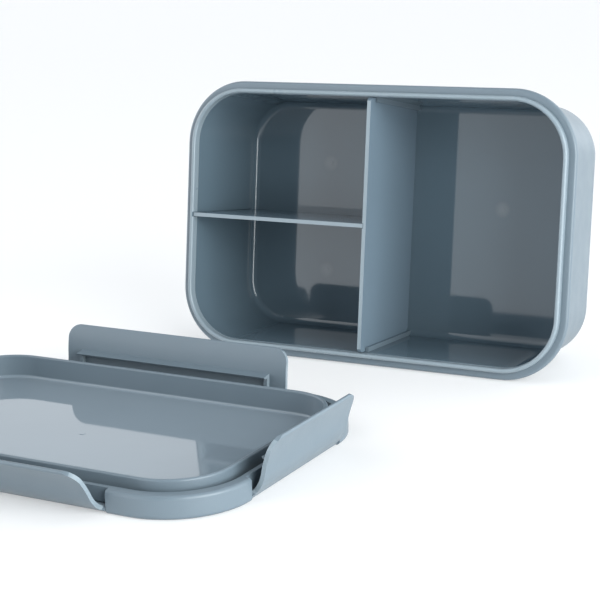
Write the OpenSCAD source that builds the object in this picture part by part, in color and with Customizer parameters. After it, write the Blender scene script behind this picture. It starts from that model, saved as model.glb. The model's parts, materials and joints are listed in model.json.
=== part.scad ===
// Lunch box with three compartments and a lid that four swinging clips hold down.
// The lid lies upside down on the table with its clips swung up, and the middle of its outer
// face is the origin. Behind it the box stands on its long side with its mouth towards -Y,
// and leans back on its flange and its base edge. X runs along the long sides, and Z is up.

/* [Box] */
// Length of the rim
rim_length = 185; // [160:1:220]
// Width of the rim
rim_width = 123; // [105:1:150]
// Depth of the box, from the lip to the outside of the base
box_depth = 56; // [42:1:70]
// Corner radius of the rim
corner_radius = 28.5; // [22:0.5:31]
// Thickness of the side walls
wall = 1.9; // [1.5:0.1:2.2]
// Thickness of the floor
floor_thickness = 2; // [1.6:0.1:3]
// How far each wall leans in from the mouth to the base
wall_draft = 3.1; // [1.5:0.1:3.5]
// Outer radius between the walls and the base
base_radius = 7; // [5:0.5:9]
// Radius between the walls and the floor inside
floor_radius = 3; // [2:0.5:6]

/* [Rim] */
// Thickness of the lip that goes into the lid
lip_thickness = 1.9; // [1.6:0.1:2.4]
// How far the lip stands out past the flange
lip_rise = 3; // [2.2:0.1:3.4]
// How far the flange stands out past the lip
flange_width = 3.3; // [2.8:0.1:4]
// Thickness of the flange
flange_thickness = 3.4; // [2.6:0.1:4]
// Radius of the flange's two outer edges
flange_round = 1.2; // [0.6:0.1:1.2]

/* [Dividers] */
// Thickness of the two divider plates
divider_thickness = 1.7; // [1.4:0.1:2.2]
// Place of the long divider, from the middle of the box
divider_offset = -1; // [-20:0.5:20]
// Gap that the dividers slide with
slide_gap = 0.25; // [0.15:0.05:0.35]
// How far the divider edges lie below the lip
divider_drop = 0.9; // [0.5:0.1:3]
// Size of the cut corners at the top of the long divider
divider_corner = 1.5; // [1:0.5:4]
// Width of the guide ribs beside the long divider
guide_width = 1.4; // [1:0.1:2]
// How far the guide ribs stand out of the walls
guide_rise = 2; // [1.5:0.1:4]
// How far the guide ribs end below the top of the long divider
guide_drop = 5; // [0.5:0.5:10]
// Depth of the shallow grooves that hold the short divider
groove_depth = 0.5; // [0.3:0.1:0.8]

/* [Lid] */
// How far the lid stands out past the flange
lid_overhang = 2.2; // [1.5:0.1:2.4]
// Thickness of the lid panel
panel_thickness = 1.6; // [1.4:0.1:1.8]
// Radius between the lid panel and the plug wall
panel_round = 1.2; // [0.8:0.1:2]
// Thickness of the skirt round the lid
skirt_thickness = 4.3; // [4.1:0.1:4.6]
// Height of the skirt, from the outside of the panel
skirt_height = 8.6; // [8:0.1:10]
// Radius of the skirt's edges
skirt_round = 1.5; // [0.8:0.1:1.8]
// Height of the plug wall that goes into the box, from the outside of the panel
plug_height = 11.6; // [10.5:0.1:14]
// Thickness of the plug wall
plug_thickness = 1.6; // [1.3:0.1:2]
// Gap between the plug wall and the lip
plug_gap = 0.4; // [0.3:0.05:0.6]
// How far the lip squeezes the seal when the box is shut
seal_squash = 0.4; // [0.2:0.1:0.6]

/* [Clips] */
// Length of the clips on the long sides, above their feet
long_clip = 108; // [86:1:112]
// Length of the clips on the short sides, above their feet
short_clip = 62; // [50:1:64]
// Thickness of the clip plates
clip_thickness = 1.6; // [1.4:0.1:1.7]
// Height of the clips above their hinge line
clip_height = 22.5; // [21:0.5:26]
// Radius of the upper clip corners
clip_corner = 6; // [4:0.5:8]
// How far the foot of a clip spreads out at each end
foot_spread = 1.5; // [1:0.5:3]
// Radius of the hinge barrel along the foot of each clip
barrel_radius = 1.4; // [1.3:0.05:1.5]
// Radius of the stub pins at the ends of the barrel
pin_radius = 0.75; // [0.6:0.05:0.9]
// Length of each stub pin
pin_length = 3; // [2:0.5:4]
// Radial gap of the pins in their holes
pin_gap = 0.05; // [0.03:0.01:0.08]
// Thickness of the hook that catches under the flange
hook_thickness = 2.2; // [1.6:0.1:2.6]
// How far the hook reaches under the flange
hook_bite = 2.5; // [1.8:0.1:2.7]
// How far the ends of the hook lie in from the ends of the clip
hook_inset = 7.5; // [6:0.5:12]
// Thickness of the end plates that carry the hook
cheek_thickness = 1.6; // [1.2:0.1:2.4]

/* [Layout] */
// Place of the box's middle along X
box_x = 57.5; // [0:0.5:120]
// Distance from the lid's middle to the line that the flange stands on
box_y = 135.5; // [132:0.5:180]
// Turn of the lid on the table
lid_turn = -1.5; // [-10:0.5:0]
// Angle that the front clip is swung out from shut
front_open = 35; // [0:1:60]
// Angle that the back clip is swung out from shut
back_open = 8; // [0:1:60]
// Angle that the right clip is swung out from shut
right_open = 17; // [0:1:60]
// Angle that the left clip is swung out from shut
left_open = 18; // [0:1:60]

/* [Hidden] */
arc_steps = 96;
past = 1;
body_colour = [0.50, 0.58, 0.66];
seal_colour = [0.75, 0.75, 0.73];

// Everything that follows the rim is given by its distance inwards from the rim outline,
// a rectangle with round corners. These are the centres of its corners.
corner_x = rim_length / 2 - corner_radius;
corner_y = rim_width / 2 - corner_radius;

// Distances inwards from the rim outline
lip_in = flange_width;
mouth_in = lip_in + lip_thickness;
body_in = mouth_in - wall;
lid_in = -lid_overhang;
skirt_in = lid_in + skirt_thickness;
plug_in = mouth_in + plug_gap;
panel_in = plug_in + plug_thickness;

// Heights in the box, from the outside of its base
flange_top = box_depth - lip_rise;
flange_foot = flange_top - flange_thickness;
divider_top = box_depth - divider_drop;
divider_foot = floor_thickness + slide_gap;

// The box leans until the flange edge and the base edge both touch the table
draft_angle = atan(wall_draft / box_depth);
base_centre_in = body_in + wall_draft * (1 - base_radius / box_depth) + base_radius / cos(draft_angle);
flange_centre_z = flange_foot + flange_round;
touch_gap = norm([base_centre_in - flange_round, flange_centre_z - base_radius]);
lean = atan2(base_centre_in - flange_round, flange_centre_z - base_radius)
       - asin((base_radius - flange_round) / touch_gap);
touch_y = -(rim_width / 2 - flange_round);
box_lift = flange_round - touch_y * cos(lean) - flange_centre_z * sin(lean);
box_shift = -touch_y * sin(lean) + flange_centre_z * cos(lean);

// The clips turn about a line near the lid's lower edge
hinge_in = 2;
hinge_up = 1.6;
pocket_gap = 0.25;
clip_recess = 2.5;
lid_half_length = rim_length / 2 + lid_overhang;
lid_half_width = rim_width / 2 + lid_overhang;

// A clip seen end on bulges out over the lid's edge and flares at its tip
bulge_radius = 14;
bulge_out = 2.9;
bulge_up = 8;
flare_radius = 45;
bend_up = 9.5;
bend_angle = asin((bend_up - bulge_up) / bulge_radius);
bulge_centre = [bulge_out - bulge_radius, bulge_up];
bend_point = bulge_centre + bulge_radius * [cos(bend_angle), sin(bend_angle)];
flare_centre = bend_point + flare_radius * [cos(bend_angle), sin(bend_angle)];
tip_angle = asin((clip_height - flare_centre[1]) / flare_radius);
tip_point = flare_centre + flare_radius * [-cos(tip_angle), sin(tip_angle)];
hook_foot = skirt_height + flange_thickness + pocket_gap - hinge_up;
hook_reach = hinge_in - lid_overhang - hook_bite;
hook_bevel = 0.6;
cheek_foot = 2.5;
cheek_clearance = 0.3;

// Height of the seal: the lip reaches this far into the skirt, and squeezes it a little
seal_side_gap = 0.2;
seal_top = skirt_height - lip_rise + seal_squash;

// Small round marks where the plastic was fed into the mould, and their places on the floor
gate_radius = 1.2;
gate_rise = 0.12;
gate_x = (rim_length - 2 * mouth_in) / 4;
gate_places = [[-gate_x, 25], [-gate_x, -26], [gate_x, 8]];

// Sweeps a 2D outline round the rim. Its x is the distance inwards and its y the height.
module round_rim() {
  for (half_turn = [0, 180])
    rotate([0, 0, half_turn]) {
      translate([corner_x, rim_width / 2, 0])
        rotate([90, 0, -90])
          linear_extrude(2 * corner_x)
            children();
      translate([rim_length / 2, -corner_y, 0])
        rotate([90, 0, 180])
          linear_extrude(2 * corner_y)
            children();
      translate([corner_x, corner_y, 0])
        corner_turn() children();
      translate([-corner_x, corner_y, 0])
        rotate([0, 0, 90])
          corner_turn() children();
    }
}

module corner_turn() {
  rotate_extrude(angle = 90, $fn = arc_steps)
    translate([corner_radius, 0])
      mirror([1, 0])
        children();
}

// Fills the middle that the swept outline leaves open
module core(height) {
  translate([-corner_x, -corner_y, 0])
    cube([2 * corner_x, 2 * corner_y, height]);
}

// Half section of a tray: a wall line that leans in towards a rounded foot
module tray_section(top_in, foot_z, top_z, radius) {
  line_in = top_in + wall_draft * (box_depth - foot_z - radius) / box_depth;
  centre_in = line_in + radius / cos(draft_angle);
  touch = [centre_in - radius * cos(draft_angle), foot_z + radius - radius * sin(draft_angle)];
  polygon([
    [top_in + wall_draft * (box_depth - top_z) / box_depth, top_z],
    touch,
    [centre_in, foot_z + radius],
    [centre_in, foot_z],
    [corner_radius, foot_z],
    [corner_radius, top_z]
  ]);
  translate([centre_in, foot_z + radius])
    circle(r = radius, $fn = arc_steps);
}

module box_section() {
  difference() {
    union() {
      tray_section(body_in, 0, flange_top, base_radius);
      for (round_z = [flange_foot + flange_round, flange_top - flange_round])
        translate([flange_round, round_z])
          circle(r = flange_round, $fn = arc_steps);
      translate([flange_round, flange_foot])
        square([mouth_in - flange_round, flange_thickness]);
      translate([0, flange_foot + flange_round])
        square([flange_round, flange_thickness - 2 * flange_round]);
      translate([lip_in, flange_foot])
        square([lip_thickness, box_depth - lip_thickness / 2 - flange_foot]);
      translate([lip_in + lip_thickness / 2, box_depth - lip_thickness / 2])
        circle(r = lip_thickness / 2, $fn = arc_steps);
    }
    tray_section(mouth_in, floor_thickness, flange_top, floor_radius);
    translate([mouth_in, flange_top - past])
      square([corner_radius, box_depth]);
  }
}

// Distance inwards of the inner wall face at a height in the box
function wall_in(height) = mouth_in + wall_draft * (box_depth - height) / box_depth;

// Two ribs, one on each long wall, that hold one face of the long divider
module guide_ribs(side) {
  rib_top = divider_top - guide_drop;
  rib_x = divider_offset + side * (divider_thickness / 2 + slide_gap + guide_width / 2);
  for (end = [-1, 1])
    rotate([0, 0, 90 - 90 * end])
      translate([end * rib_x + guide_width / 2, rim_width / 2, 0])
        rotate([90, 0, -90])
          linear_extrude(guide_width)
            intersection() {
              tray_section(mouth_in - wall / 2, floor_thickness / 2, rib_top, base_radius - wall / 2);
              polygon([
                [0, 0], [wall_in(0) + guide_rise, 0],
                [wall_in(rib_top) + guide_rise, rib_top], [0, rib_top]
              ]);
            }
}

module box_shell() {
  color(body_colour)
    place_box()
      difference() {
        union() {
          round_rim() box_section();
          core(floor_thickness);
          for (side = [-1, 1]) guide_ribs(side);
          gate_marks();
        }
        short_groove();
      }
}

// The shallow groove in the left wall that the short divider slides in
module short_groove() {
  foot = floor_thickness + floor_radius;
  room = divider_thickness + 2 * slide_gap;
  translate([-rim_length / 2, room / 2, 0])
    rotate([90, 0, 0])
      linear_extrude(room)
        polygon([
          [wall_in(foot) - groove_depth, foot], [wall_in(foot) + groove_depth, foot],
          [mouth_in + groove_depth, box_depth + past], [mouth_in - groove_depth, box_depth + past]
        ]);
}

module gate_marks() {
  for (place = gate_places)
    translate([place[0], place[1], floor_thickness - past])
      cylinder(r = gate_radius, h = gate_rise + past, $fn = arc_steps);
}

module place_box() {
  translate([box_x, box_y + box_shift, box_lift])
    rotate([90 - lean, 0, 0])
      children();
}

module long_divider() {
  half_top = rim_width / 2 - wall_in(divider_top) - slide_gap;
  half_foot = rim_width / 2 - wall_in(divider_foot) - slide_gap;
  color(body_colour)
    place_box()
      difference() {
        translate([divider_offset - divider_thickness / 2, 0, 0])
          rotate([90, 0, 90])
            linear_extrude(divider_thickness)
              polygon([
                [-half_top + divider_corner, divider_top], [-half_top, divider_top - divider_corner],
                [-half_foot, divider_foot + floor_radius], [-half_foot + floor_radius, divider_foot],
                [half_foot - floor_radius, divider_foot], [half_foot, divider_foot + floor_radius],
                [half_top, divider_top - divider_corner], [half_top - divider_corner, divider_top]
              ]);
        translate([divider_offset - divider_thickness / 2 - past, -divider_thickness / 2 - slide_gap, 0])
          cube([groove_depth + past, divider_thickness + 2 * slide_gap, box_depth]);
      }
}

module short_divider() {
  corner_z = divider_foot + floor_radius + groove_depth;
  right_end = divider_offset - divider_thickness / 2 + groove_depth - slide_gap;
  left_top = -rim_length / 2 + wall_in(divider_top) - groove_depth + slide_gap;
  left_foot = -rim_length / 2 + wall_in(corner_z) - groove_depth + slide_gap;
  color(body_colour)
    place_box()
      translate([0, divider_thickness / 2, 0])
        rotate([90, 0, 0])
          linear_extrude(divider_thickness)
            polygon([
              [left_top, divider_top], [left_foot, corner_z],
              [left_foot + groove_depth + floor_radius, divider_foot],
              [right_end, divider_foot], [right_end, divider_top]
            ]);
}

module lid_section() {
  difference() {
    union() {
      translate([lid_in + skirt_round, 0])
        square([corner_radius - lid_in - skirt_round, panel_thickness]);
      for (round_z = [skirt_round, skirt_height - skirt_round])
        translate([lid_in + skirt_round, round_z])
          circle(r = skirt_round, $fn = arc_steps);
      translate([lid_in, skirt_round])
        square([skirt_thickness, skirt_height - 2 * skirt_round]);
      translate([lid_in + skirt_round, 0])
        square([skirt_thickness - skirt_round, skirt_height]);
      translate([plug_in, 0])
        square([plug_thickness, plug_height - plug_thickness / 2]);
      translate([plug_in + plug_thickness / 2, plug_height - plug_thickness / 2])
        circle(r = plug_thickness / 2, $fn = arc_steps);
      translate([panel_in - plug_thickness / 2, 0])
        square([plug_thickness / 2 + panel_round, panel_thickness + panel_round]);
    }
    translate([panel_in + panel_round, panel_thickness + panel_round])
      circle(r = panel_round, $fn = arc_steps);
  }
}

// Cuts the room for one clip out of the lid's edge. Its x runs out of the lid.
module clip_room(length) {
  room = length + 2 * foot_spread + 2 * pocket_gap;
  translate([hinge_in - clip_recess, -room / 2, -past])
    cube([2 * clip_recess + past, room, skirt_height + 2 * past]);
  rotate([90, 0, 0])
    translate([0, hinge_up, -room / 2])
      cylinder(r = barrel_radius + pocket_gap, h = room, $fn = arc_steps);
  rotate([90, 0, 0])
    translate([0, hinge_up, -room / 2 - pin_length])
      cylinder(r = pin_radius + pin_gap, h = room + 2 * pin_length, $fn = arc_steps);
}

module at_side(half_size, turn) {
  rotate([0, 0, turn])
    translate([half_size - hinge_in, 0, 0])
      children();
}

module lid_shell() {
  color(body_colour)
    place_lid()
      difference() {
        union() {
          round_rim() lid_section();
          core(panel_thickness);
          translate([0, 0, panel_thickness - past])
            cylinder(r = gate_radius, h = gate_rise + past, $fn = arc_steps);
        }
        for (turn = [0, 180]) {
          at_side(lid_half_length, turn) clip_room(short_clip);
          at_side(lid_half_width, turn + 90) clip_room(long_clip);
        }
      }
}

module lid_seal() {
  left = skirt_in + seal_side_gap;
  right = plug_in - seal_side_gap;
  bead = (right - left) / 2;
  color(seal_colour)
    place_lid()
      round_rim()
        union() {
          translate([left, panel_thickness])
            square([right - left, seal_top - bead - panel_thickness]);
          translate([left + bead, seal_top - bead])
            circle(r = bead, $fn = arc_steps);
        }
}

module place_lid() {
  rotate([0, 0, lid_turn])
    children();
}

// End view of a clip when it is shut: x runs out of the lid and y up from the hinge line
module clip_section() {
  half = clip_thickness / 2;
  intersection() {
    translate(bulge_centre)
      difference() {
        circle(r = bulge_radius + half, $fn = 4 * arc_steps);
        circle(r = bulge_radius - half, $fn = 4 * arc_steps);
      }
    polygon([
      bulge_centre, bulge_centre + 2 * bulge_radius * [cos(bend_angle), sin(bend_angle)],
      [2 * bulge_radius, 0], [0, 0]
    ]);
  }
  intersection() {
    translate(flare_centre)
      difference() {
        circle(r = flare_radius + half, $fn = 4 * arc_steps);
        circle(r = flare_radius - half, $fn = 4 * arc_steps);
      }
    polygon([
      flare_centre, flare_centre - 2 * flare_radius * [cos(bend_angle), sin(bend_angle)],
      flare_centre + 2 * flare_radius * [-cos(tip_angle), sin(tip_angle)]
    ]);
  }
  translate(tip_point)
    circle(r = half, $fn = arc_steps);
}

// Front view of a clip: straight sides, round upper corners and a foot that spreads out
module clip_outline(length) {
  top = clip_height + clip_thickness / 2;
  side = length / 2;
  foot = side + foot_spread;
  translate([-side, 0])
    square([2 * side, top - clip_corner]);
  translate([-side + clip_corner, 0])
    square([2 * (side - clip_corner), top]);
  for (end = [-1, 1])
    translate([end * (side - clip_corner), top - clip_corner])
      circle(r = clip_corner, $fn = arc_steps);
  for (end = [-1, 1])
    difference() {
      translate([end > 0 ? side - past : -foot, 0])
        square([foot_spread + past, foot_spread + barrel_radius]);
      translate([end * foot, foot_spread + barrel_radius])
        circle(r = foot_spread, $fn = arc_steps);
    }
}

// One clip at its hinge line, swung out from shut. Its x runs out of the lid.
module clip(length, open) {
  foot_length = length + 2 * foot_spread;
  hook_length = length - 2 * hook_inset;
  color(body_colour)
    translate([0, 0, hinge_up])
      rotate([0, open, 0]) {
        intersection() {
          rotate([90, 0, 0])
            translate([0, 0, -foot_length / 2])
              linear_extrude(foot_length)
                clip_section();
          translate([-2 * bulge_radius, 0, 0])
            rotate([90, 0, 90])
              linear_extrude(4 * bulge_radius)
                clip_outline(length);
        }
        rotate([90, 0, 0])
          translate([0, 0, -foot_length / 2])
            cylinder(r = barrel_radius, h = foot_length, $fn = arc_steps);
        rotate([90, 0, 0])
          translate([0, 0, -foot_length / 2 - pin_length + pocket_gap])
            cylinder(r = pin_radius, h = foot_length + 2 * (pin_length - pocket_gap), $fn = arc_steps);
        rotate([90, 0, 0])
          translate([0, 0, -hook_length / 2])
            linear_extrude(hook_length)
              hook_section();
        for (end = [-1, 1])
          translate([0, end * (hook_length - cheek_thickness) / 2 + cheek_thickness / 2, 0])
            rotate([90, 0, 0])
              linear_extrude(cheek_thickness)
                cheek_section();
      }
}

// The hook, with a bevel that leads it over the flange
module hook_section() {
  polygon([
    [bulge_out, hook_foot], [hook_reach + hook_bevel, hook_foot],
    [hook_reach, hook_foot + hook_bevel], [bulge_out, hook_foot + hook_thickness]
  ]);
}

// End plates that tie the hook to the clip, just clear of the flange
module cheek_section() {
  cheek_in = hinge_in - lid_overhang + cheek_clearance;
  polygon([
    [bulge_out, hook_foot + hook_bevel], [cheek_in, hook_foot + hook_bevel],
    [cheek_in, skirt_height - hinge_up], [bulge_out - clip_thickness, cheek_foot],
    [bulge_out - clip_thickness / 2, cheek_foot]
  ]);
}

module clip_front() {
  place_lid() at_side(lid_half_width, -90) clip(long_clip, front_open);
}

module clip_back() {
  place_lid() at_side(lid_half_width, 90) clip(long_clip, back_open);
}

module clip_left() {
  place_lid() at_side(lid_half_length, 180) clip(short_clip, left_open);
}

module clip_right() {
  place_lid() at_side(lid_half_length, 0) clip(short_clip, right_open);
}

box_shell();
long_divider();
short_divider();
lid_shell();
lid_seal();
clip_front();
clip_back();
clip_left();
clip_right();
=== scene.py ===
import json
import math

import bpy
from mathutils import Matrix, Vector


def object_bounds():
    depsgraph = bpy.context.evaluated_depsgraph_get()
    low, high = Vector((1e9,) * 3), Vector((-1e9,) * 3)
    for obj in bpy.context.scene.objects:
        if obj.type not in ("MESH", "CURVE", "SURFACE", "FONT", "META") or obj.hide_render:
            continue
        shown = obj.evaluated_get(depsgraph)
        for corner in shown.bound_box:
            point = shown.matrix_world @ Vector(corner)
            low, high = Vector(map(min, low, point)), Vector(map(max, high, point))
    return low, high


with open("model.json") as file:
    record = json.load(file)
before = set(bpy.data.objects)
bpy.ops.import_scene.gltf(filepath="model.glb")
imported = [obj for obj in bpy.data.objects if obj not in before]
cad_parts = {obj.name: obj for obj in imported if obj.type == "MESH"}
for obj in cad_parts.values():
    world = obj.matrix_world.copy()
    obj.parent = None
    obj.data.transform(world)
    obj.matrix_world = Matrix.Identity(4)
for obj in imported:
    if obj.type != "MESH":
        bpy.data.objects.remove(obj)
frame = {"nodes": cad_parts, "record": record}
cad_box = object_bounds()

MM = 0.001
nodes = frame["nodes"]
mounts = {mount["name"]: mount for mount in frame["record"]["mounts"]}

# The camera stands in front of the box, to its right, and looks a little down
CAMERA_YAW = math.radians(27.18)
CAMERA_PITCH = math.radians(13.46)
CAMERA_ROLL = math.radians(-1.4)
CAMERA_PLACE = Vector((341.9, -479.3, 191.9)) * MM
CAMERA_LENS = 94.97
SENSOR_WIDTH = 36
NEAREST_SEEN = 0.01

# Light of the white walls, and the directions where the room is darker:
# heading, degrees of full effect, degrees where it ends, and the change in light
WALL_LIGHT = 2.9
ROOM_TINT = (0.96, 1.0, 1.04, 1)
LIGHT_CHANGES = [
    ((0, 0, 1), 10, 80, -2.1),
    ((0.46, -0.86, 0.2), 20, 60, -2.9),
    ((-0.45, 0.86, 0.24), 20, 60, -1.4),
    ((0.95, -0.1, 0.25), 20, 55, -1.0),
]

# Softbox on the right: its heading and distance, its width and height, its light and its tint
BOX_HEADING = Vector((0.88, -0.40, 0.25))
BOX_DISTANCE = 1.1
BOX_SIZE = (0.9, 0.8)
BOX_LIGHT = 8.7
BOX_TINT = (0.95, 0.99, 1.0)

# White floor. The light that it gives off keeps it white where the object shades it.
FLOOR_HALF = 6.0
FLOOR_COLOUR = (0.6, 0.6, 0.6, 1)
FLOOR_ROUGHNESS = 0.6
FLOOR_GLOW = 0.35
FLOOR_GLOW_COLOUR = (1, 1, 1, 1)

# Plastic colours, as linear light. The lid's panel colour is lighter as painted light, standing
# in for the light that the thin lid lets through. The edge colour is lighter as a painted
# highlight, where the rounded edges catch the light.
SATIN_SLATE = (0.136, 0.178, 0.211, 1)
INNER_SLATE = (0.098, 0.140, 0.172, 1)
PANEL_PAINTED_LIGHT_SLATE = (0.205, 0.255, 0.295, 1)
PLATE_SLATE = (0.145, 0.198, 0.244, 1)
EDGE_HIGHLIGHT_SLATE = (0.220, 0.272, 0.308, 1)
BLUSH_SLATE = (0.190, 0.225, 0.250, 1)
SEAL_BROWN = (0.20, 0.18, 0.16, 1)

# Each plastic: its colour, its roughness and the strength of its grain
FINISHES = {
    "satin_slate": (SATIN_SLATE, 0.38, 0.25),
    "gloss_slate": (INNER_SLATE, 0.045, 0.0),
    # The panel colour below is lighter as painted light, for the light through the thin lid
    "panel_painted_light_slate": (PANEL_PAINTED_LIGHT_SLATE, 0.045, 0.0),
    "divider_slate": (PLATE_SLATE, 0.16, 0.05),
    # The edge colour below is a painted highlight on the rounded edges
    "edge_highlight_slate": (EDGE_HIGHLIGHT_SLATE, 0.30, 0.1),
    "seal_silicone": (SEAL_BROWN, 0.55, 0.2),
}
PLASTIC_IOR = 1.5

# How the plastic varies: share of change, and scale and detail of the noise behind it
TONE_CHANGE = 0.06
TONE_NOISE = (18, 3)
POLISH_CHANGE = 0.25
POLISH_NOISE = (90, 4)
PORE_DEPTH = 0.1 * MM
PORE_NOISE = (2600, 2)

# Sockets of a Mix node that mixes colours
MIX_FIRST, MIX_SECOND, MIX_RESULT = 6, 7, 2

# The rim's corners, the lid's overhang, and distances inwards that part the faces
CORNER_RADIUS = 28.5 * MM
LIP_IN = 3.3 * MM
MOUTH_IN = 5.2 * MM
PANEL_IN = 7.2 * MM
LID_OVERHANG = 2.2 * MM
EDGE_SLACK = 0.05 * MM

# Heights in the box, from its base, and in the lid, from its outer face
LIP_FOOT = 52 * MM
FLOOR_THICKNESS = 2 * MM
FLOOR_MIDDLE = 1 * MM
PANEL_MIDDLE = 0.8 * MM
PANEL_ROUND_TOP = 2.9 * MM

# How far the lid is turned on the table
LID_TURN = math.radians(-1.5)

# How far a face is turned towards the mouth, or along a clip, to count as an edge that takes the
# painted highlight
EDGE_TURN = 0.9
END_TURN = 0.6

# Marks where the plastic was fed in, along and up from the middle of the box's floor
GATE_PLACES = [(-43.7 * MM, 25 * MM), (-43.7 * MM, -26 * MM), (43.7 * MM, 8 * MM)]
BLUSH_RADIUS = 4.5 * MM
BLUSH_STRENGTH = 0.8


def box_axes():
    """The middle of the box's base, its depth axis out of the mouth, and its two side axes."""
    base = Vector(mounts["box_base"]["pos_m"])
    out = -Vector(mounts["box_base"]["axis"])
    along = Vector((1, 0, 0))
    return base, out, along, out.cross(along)


BASE, OUT, ALONG, UP = box_axes()


# Nodes of a material

def add(tree, kind, inputs=(), **settings):
    """A new node, with its settings made and its inputs set or linked."""
    node = tree.nodes.new(kind)
    for name, value in settings.items():
        setattr(node, name, value)
    for name, value in dict(inputs).items():
        if isinstance(value, bpy.types.NodeSocket):
            tree.links.new(value, node.inputs[name])
        else:
            node.inputs[name].default_value = value
    return node


def noise(tree, place, scale, detail):
    inputs = {"Vector": place, "Scale": scale, "Detail": detail}
    return add(tree, "ShaderNodeTexNoise", inputs).outputs["Fac"]


def mix_colour(tree, factor, first, second):
    inputs = {"Factor": factor, MIX_FIRST: first, MIX_SECOND: second}
    return add(tree, "ShaderNodeMix", inputs, data_type="RGBA").outputs[MIX_RESULT]


def ease(tree, value, start, end, top=1.0):
    """A smooth change from 0 at start to top at end."""
    inputs = {"Value": value, "From Min": start, "From Max": end, "To Max": top}
    level = add(tree, "ShaderNodeMapRange", inputs, interpolation_type="SMOOTHSTEP")
    return level.outputs["Result"]


def new_material(name):
    material = bpy.data.materials.new(name)
    material.use_nodes = True
    return material, material.node_tree, material.node_tree.nodes["Principled BSDF"]


def plastic(name):
    """Moulded plastic: a slow change of tone, uneven polish and a fine grain."""
    colour, roughness, grain = FINISHES[name]
    material, tree, shader = new_material(name)
    place = add(tree, "ShaderNodeTexCoord").outputs["Object"]
    dark = tuple(c * (1 - TONE_CHANGE) for c in colour[:3]) + (1,)
    light = tuple(min(1, c * (1 + TONE_CHANGE)) for c in colour[:3]) + (1,)
    tone = mix_colour(tree, noise(tree, place, *TONE_NOISE), dark, light)
    polish = add(tree, "ShaderNodeMapRange", {
        "Value": noise(tree, place, *POLISH_NOISE),
        "To Min": roughness * (1 - POLISH_CHANGE),
        "To Max": roughness * (1 + POLISH_CHANGE),
    })
    bump = add(tree, "ShaderNodeBump", {
        "Height": noise(tree, place, *PORE_NOISE),
        "Strength": grain,
        "Distance": PORE_DEPTH,
    })
    tree.links.new(tone, shader.inputs["Base Color"])
    tree.links.new(polish.outputs["Result"], shader.inputs["Roughness"])
    tree.links.new(bump.outputs["Normal"], shader.inputs["Normal"])
    shader.inputs["IOR"].default_value = PLASTIC_IOR
    return material


def add_blush(material, places):
    """Soft light spots where the plastic was fed in, round the given places."""
    tree = material.node_tree
    shader = tree.nodes["Principled BSDF"]
    base = shader.inputs["Base Color"].links[0].from_socket
    spot = add(tree, "ShaderNodeTexCoord").outputs["Object"]
    for place in places:
        away = add(tree, "ShaderNodeVectorMath", {0: spot, 1: place}, operation="DISTANCE")
        fade = ease(tree, away.outputs["Value"], BLUSH_RADIUS, 0, BLUSH_STRENGTH)
        base = mix_colour(tree, fade, base, BLUSH_SLATE)
    tree.links.new(base, shader.inputs["Base Color"])


# Stage, camera and light

def make_floor():
    mesh = bpy.data.meshes.new("floor")
    corners = [(x * FLOOR_HALF, y * FLOOR_HALF, 0)
               for x, y in ((-1, -1), (1, -1), (1, 1), (-1, 1))]
    mesh.from_pydata(corners, [], [(0, 1, 2, 3)])
    floor = bpy.data.objects.new("floor", mesh)
    bpy.context.scene.collection.objects.link(floor)
    material, _, shader = new_material("white_floor")
    shader.inputs["Base Color"].default_value = FLOOR_COLOUR
    shader.inputs["Roughness"].default_value = FLOOR_ROUGHNESS
    shader.inputs["Emission Color"].default_value = FLOOR_GLOW_COLOUR
    shader.inputs["Emission Strength"].default_value = FLOOR_GLOW
    mesh.materials.append(material)


def make_camera():
    forward = Vector((-math.sin(CAMERA_YAW) * math.cos(CAMERA_PITCH),
                      math.cos(CAMERA_YAW) * math.cos(CAMERA_PITCH),
                      -math.sin(CAMERA_PITCH)))
    level = Vector((math.cos(CAMERA_YAW), math.sin(CAMERA_YAW), 0))
    above = level.cross(forward)
    right = math.cos(CAMERA_ROLL) * level + math.sin(CAMERA_ROLL) * above
    up = math.cos(CAMERA_ROLL) * above - math.sin(CAMERA_ROLL) * level
    turn = Matrix((right, up, -forward)).transposed()
    data = bpy.data.cameras.new("camera")
    data.lens = CAMERA_LENS
    data.sensor_width = SENSOR_WIDTH
    data.clip_start = NEAREST_SEEN
    camera = bpy.data.objects.new("camera", data)
    camera.matrix_world = Matrix.Translation(CAMERA_PLACE) @ turn.to_4x4()
    bpy.context.scene.collection.objects.link(camera)
    bpy.context.scene.camera = camera


def lobe(tree, way, heading, near, far):
    """1 where the direction lies within near degrees of heading, and 0 past far degrees."""
    inputs = {0: way, 1: Vector(heading).normalized()}
    towards = add(tree, "ShaderNodeVectorMath", inputs, operation="DOT_PRODUCT")
    start, end = (math.cos(math.radians(degrees)) for degrees in (far, near))
    return ease(tree, towards.outputs["Value"], start, end)


def calculate(tree, operation, first, second):
    return add(tree, "ShaderNodeMath", {0: first, 1: second}, operation=operation).outputs[0]


def make_world():
    """A white room, darkest where the photographer stands, and dimmer above, behind and right."""
    world = bpy.data.worlds.new("studio")
    bpy.context.scene.world = world
    world.use_nodes = True
    tree = world.node_tree
    sky = tree.nodes["Background"]
    way = add(tree, "ShaderNodeTexCoord").outputs["Generated"]
    light = WALL_LIGHT
    for heading, near, far, change in LIGHT_CHANGES:
        part = calculate(tree, "MULTIPLY", lobe(tree, way, heading, near, far), change)
        light = calculate(tree, "ADD", light, part)
    tree.links.new(calculate(tree, "MAXIMUM", light, 0), sky.inputs["Strength"])
    sky.inputs["Color"].default_value = ROOM_TINT


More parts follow.
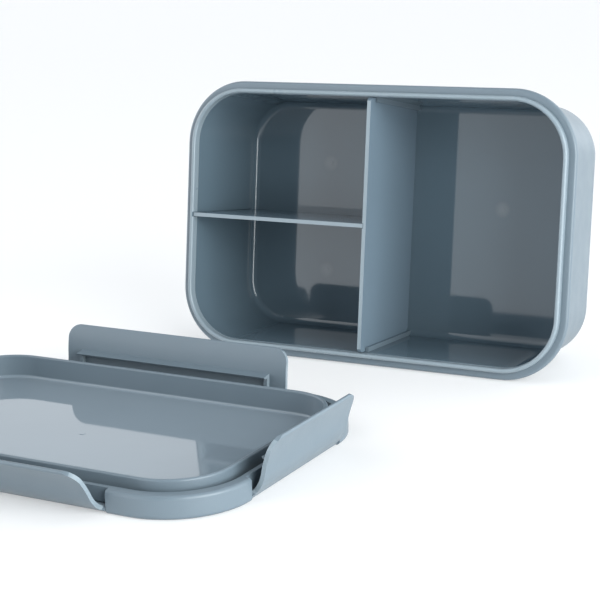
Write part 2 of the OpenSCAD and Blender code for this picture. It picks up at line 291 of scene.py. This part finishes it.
def make_softbox():
    data = bpy.data.lights.new("softbox", "AREA")
    data.shape = "RECTANGLE"
    data.size, data.size_y = BOX_SIZE
    data.energy = BOX_LIGHT * math.pi * data.size * data.size_y
    data.color = BOX_TINT
    middle = (Vector(cad_box[0]) + Vector(cad_box[1])) / 2
    light = bpy.data.objects.new("softbox", data)
    light.location = middle + BOX_HEADING.normalized() * BOX_DISTANCE
    light.rotation_euler = (middle - light.location).to_track_quat("-Z", "Y").to_euler()
    bpy.context.scene.collection.objects.link(light)


# Which material each face of a node takes

def inwards(across, up, half_length, half_width, radius):
    """Distance inwards of a point from a rectangle with round corners."""
    side = abs(across) - half_length + radius
    end = abs(up) - half_width + radius
    return radius - math.hypot(max(side, 0), max(end, 0)) - min(max(side, end), 0)


def box_face(mesh):
    """Picks gloss for the faces inside the box below the lip, and the lighter edge colour, a
    painted highlight, for the lip.
    """
    half_length = max(abs((v.co - BASE).dot(ALONG)) for v in mesh.vertices)
    half_width = max(abs((v.co - BASE).dot(UP)) for v in mesh.vertices)
    middle = BASE + OUT * LIP_FOOT / 2

    def pick(face):
        place = face.center - BASE
        depth = place.dot(OUT)
        far_in = inwards(place.dot(ALONG), place.dot(UP), half_length, half_width, CORNER_RADIUS)
        if depth > LIP_FOOT + EDGE_SLACK and far_in > LIP_IN - EDGE_SLACK:
            return 2
        turned_in = face.normal.dot(middle - face.center) > 0
        return int(turned_in and far_in > MOUTH_IN - EDGE_SLACK and FLOOR_MIDDLE < depth)

    return pick


def lid_face(mesh):
    """Picks the panel's gloss and its lighter colour, which is painted light, for the flat inside
    of the lid.
    """
    turn = Matrix.Rotation(-LID_TURN, 3, "Z")
    corner = [max(abs((turn @ v.co)[axis]) for v in mesh.vertices) for axis in (0, 1)]
    radius = CORNER_RADIUS + LID_OVERHANG
    wall_in = PANEL_IN + LID_OVERHANG - EDGE_SLACK

    def pick(face):
        place = turn @ face.center
        far_in = inwards(place.x, place.y, corner[0], corner[1], radius)
        return int(far_in > wall_in and PANEL_MIDDLE < place.z < PANEL_ROUND_TOP)

    return pick


def plate_face(face):
    """Picks the lighter edge colour, a painted highlight, for a divider's edge at the mouth of
    the box.
    """
    return int(face.normal.dot(OUT) > EDGE_TURN)


def clip_face(name):
    """Picks the lighter edge colour, a painted highlight, for the two ends of a clip's plate."""
    joints = {joint["name"]: joint for joint in frame["record"]["behaviour"]["joints"]}
    axis = Vector(joints[name + "_hinge"]["axis"])
    return lambda face: int(abs(face.normal.dot(axis)) > END_TURN)


def assign(node, materials, pick=None):
    """Gives a node its materials, and each face the one that pick says."""
    mesh = nodes[node].data
    mesh.materials.clear()
    for material in materials:
        mesh.materials.append(material)
    for face in mesh.polygons:
        face.material_index = pick(face) if pick else 0


def make_materials():
    satin, gloss, panel, plate, edge, seal = (plastic(name) for name in FINISHES)
    add_blush(gloss, [BASE + OUT * FLOOR_THICKNESS + ALONG * x + UP * y for x, y in GATE_PLACES])
    assign("box_shell", [satin, gloss, edge], box_face(nodes["box_shell"].data))
    assign("lid_shell", [satin, panel], lid_face(nodes["lid_shell"].data))
    for name in ("long_divider", "short_divider"):
        assign(name, [plate, edge], plate_face)
    for name in ("clip_front", "clip_back", "clip_left", "clip_right"):
        assign(name, [satin, edge], clip_face(name))
    assign("lid_seal", [seal])


make_floor()
make_camera()
make_world()
make_softbox()
make_materials()
bpy.context.scene.view_settings.view_transform = "Standard"
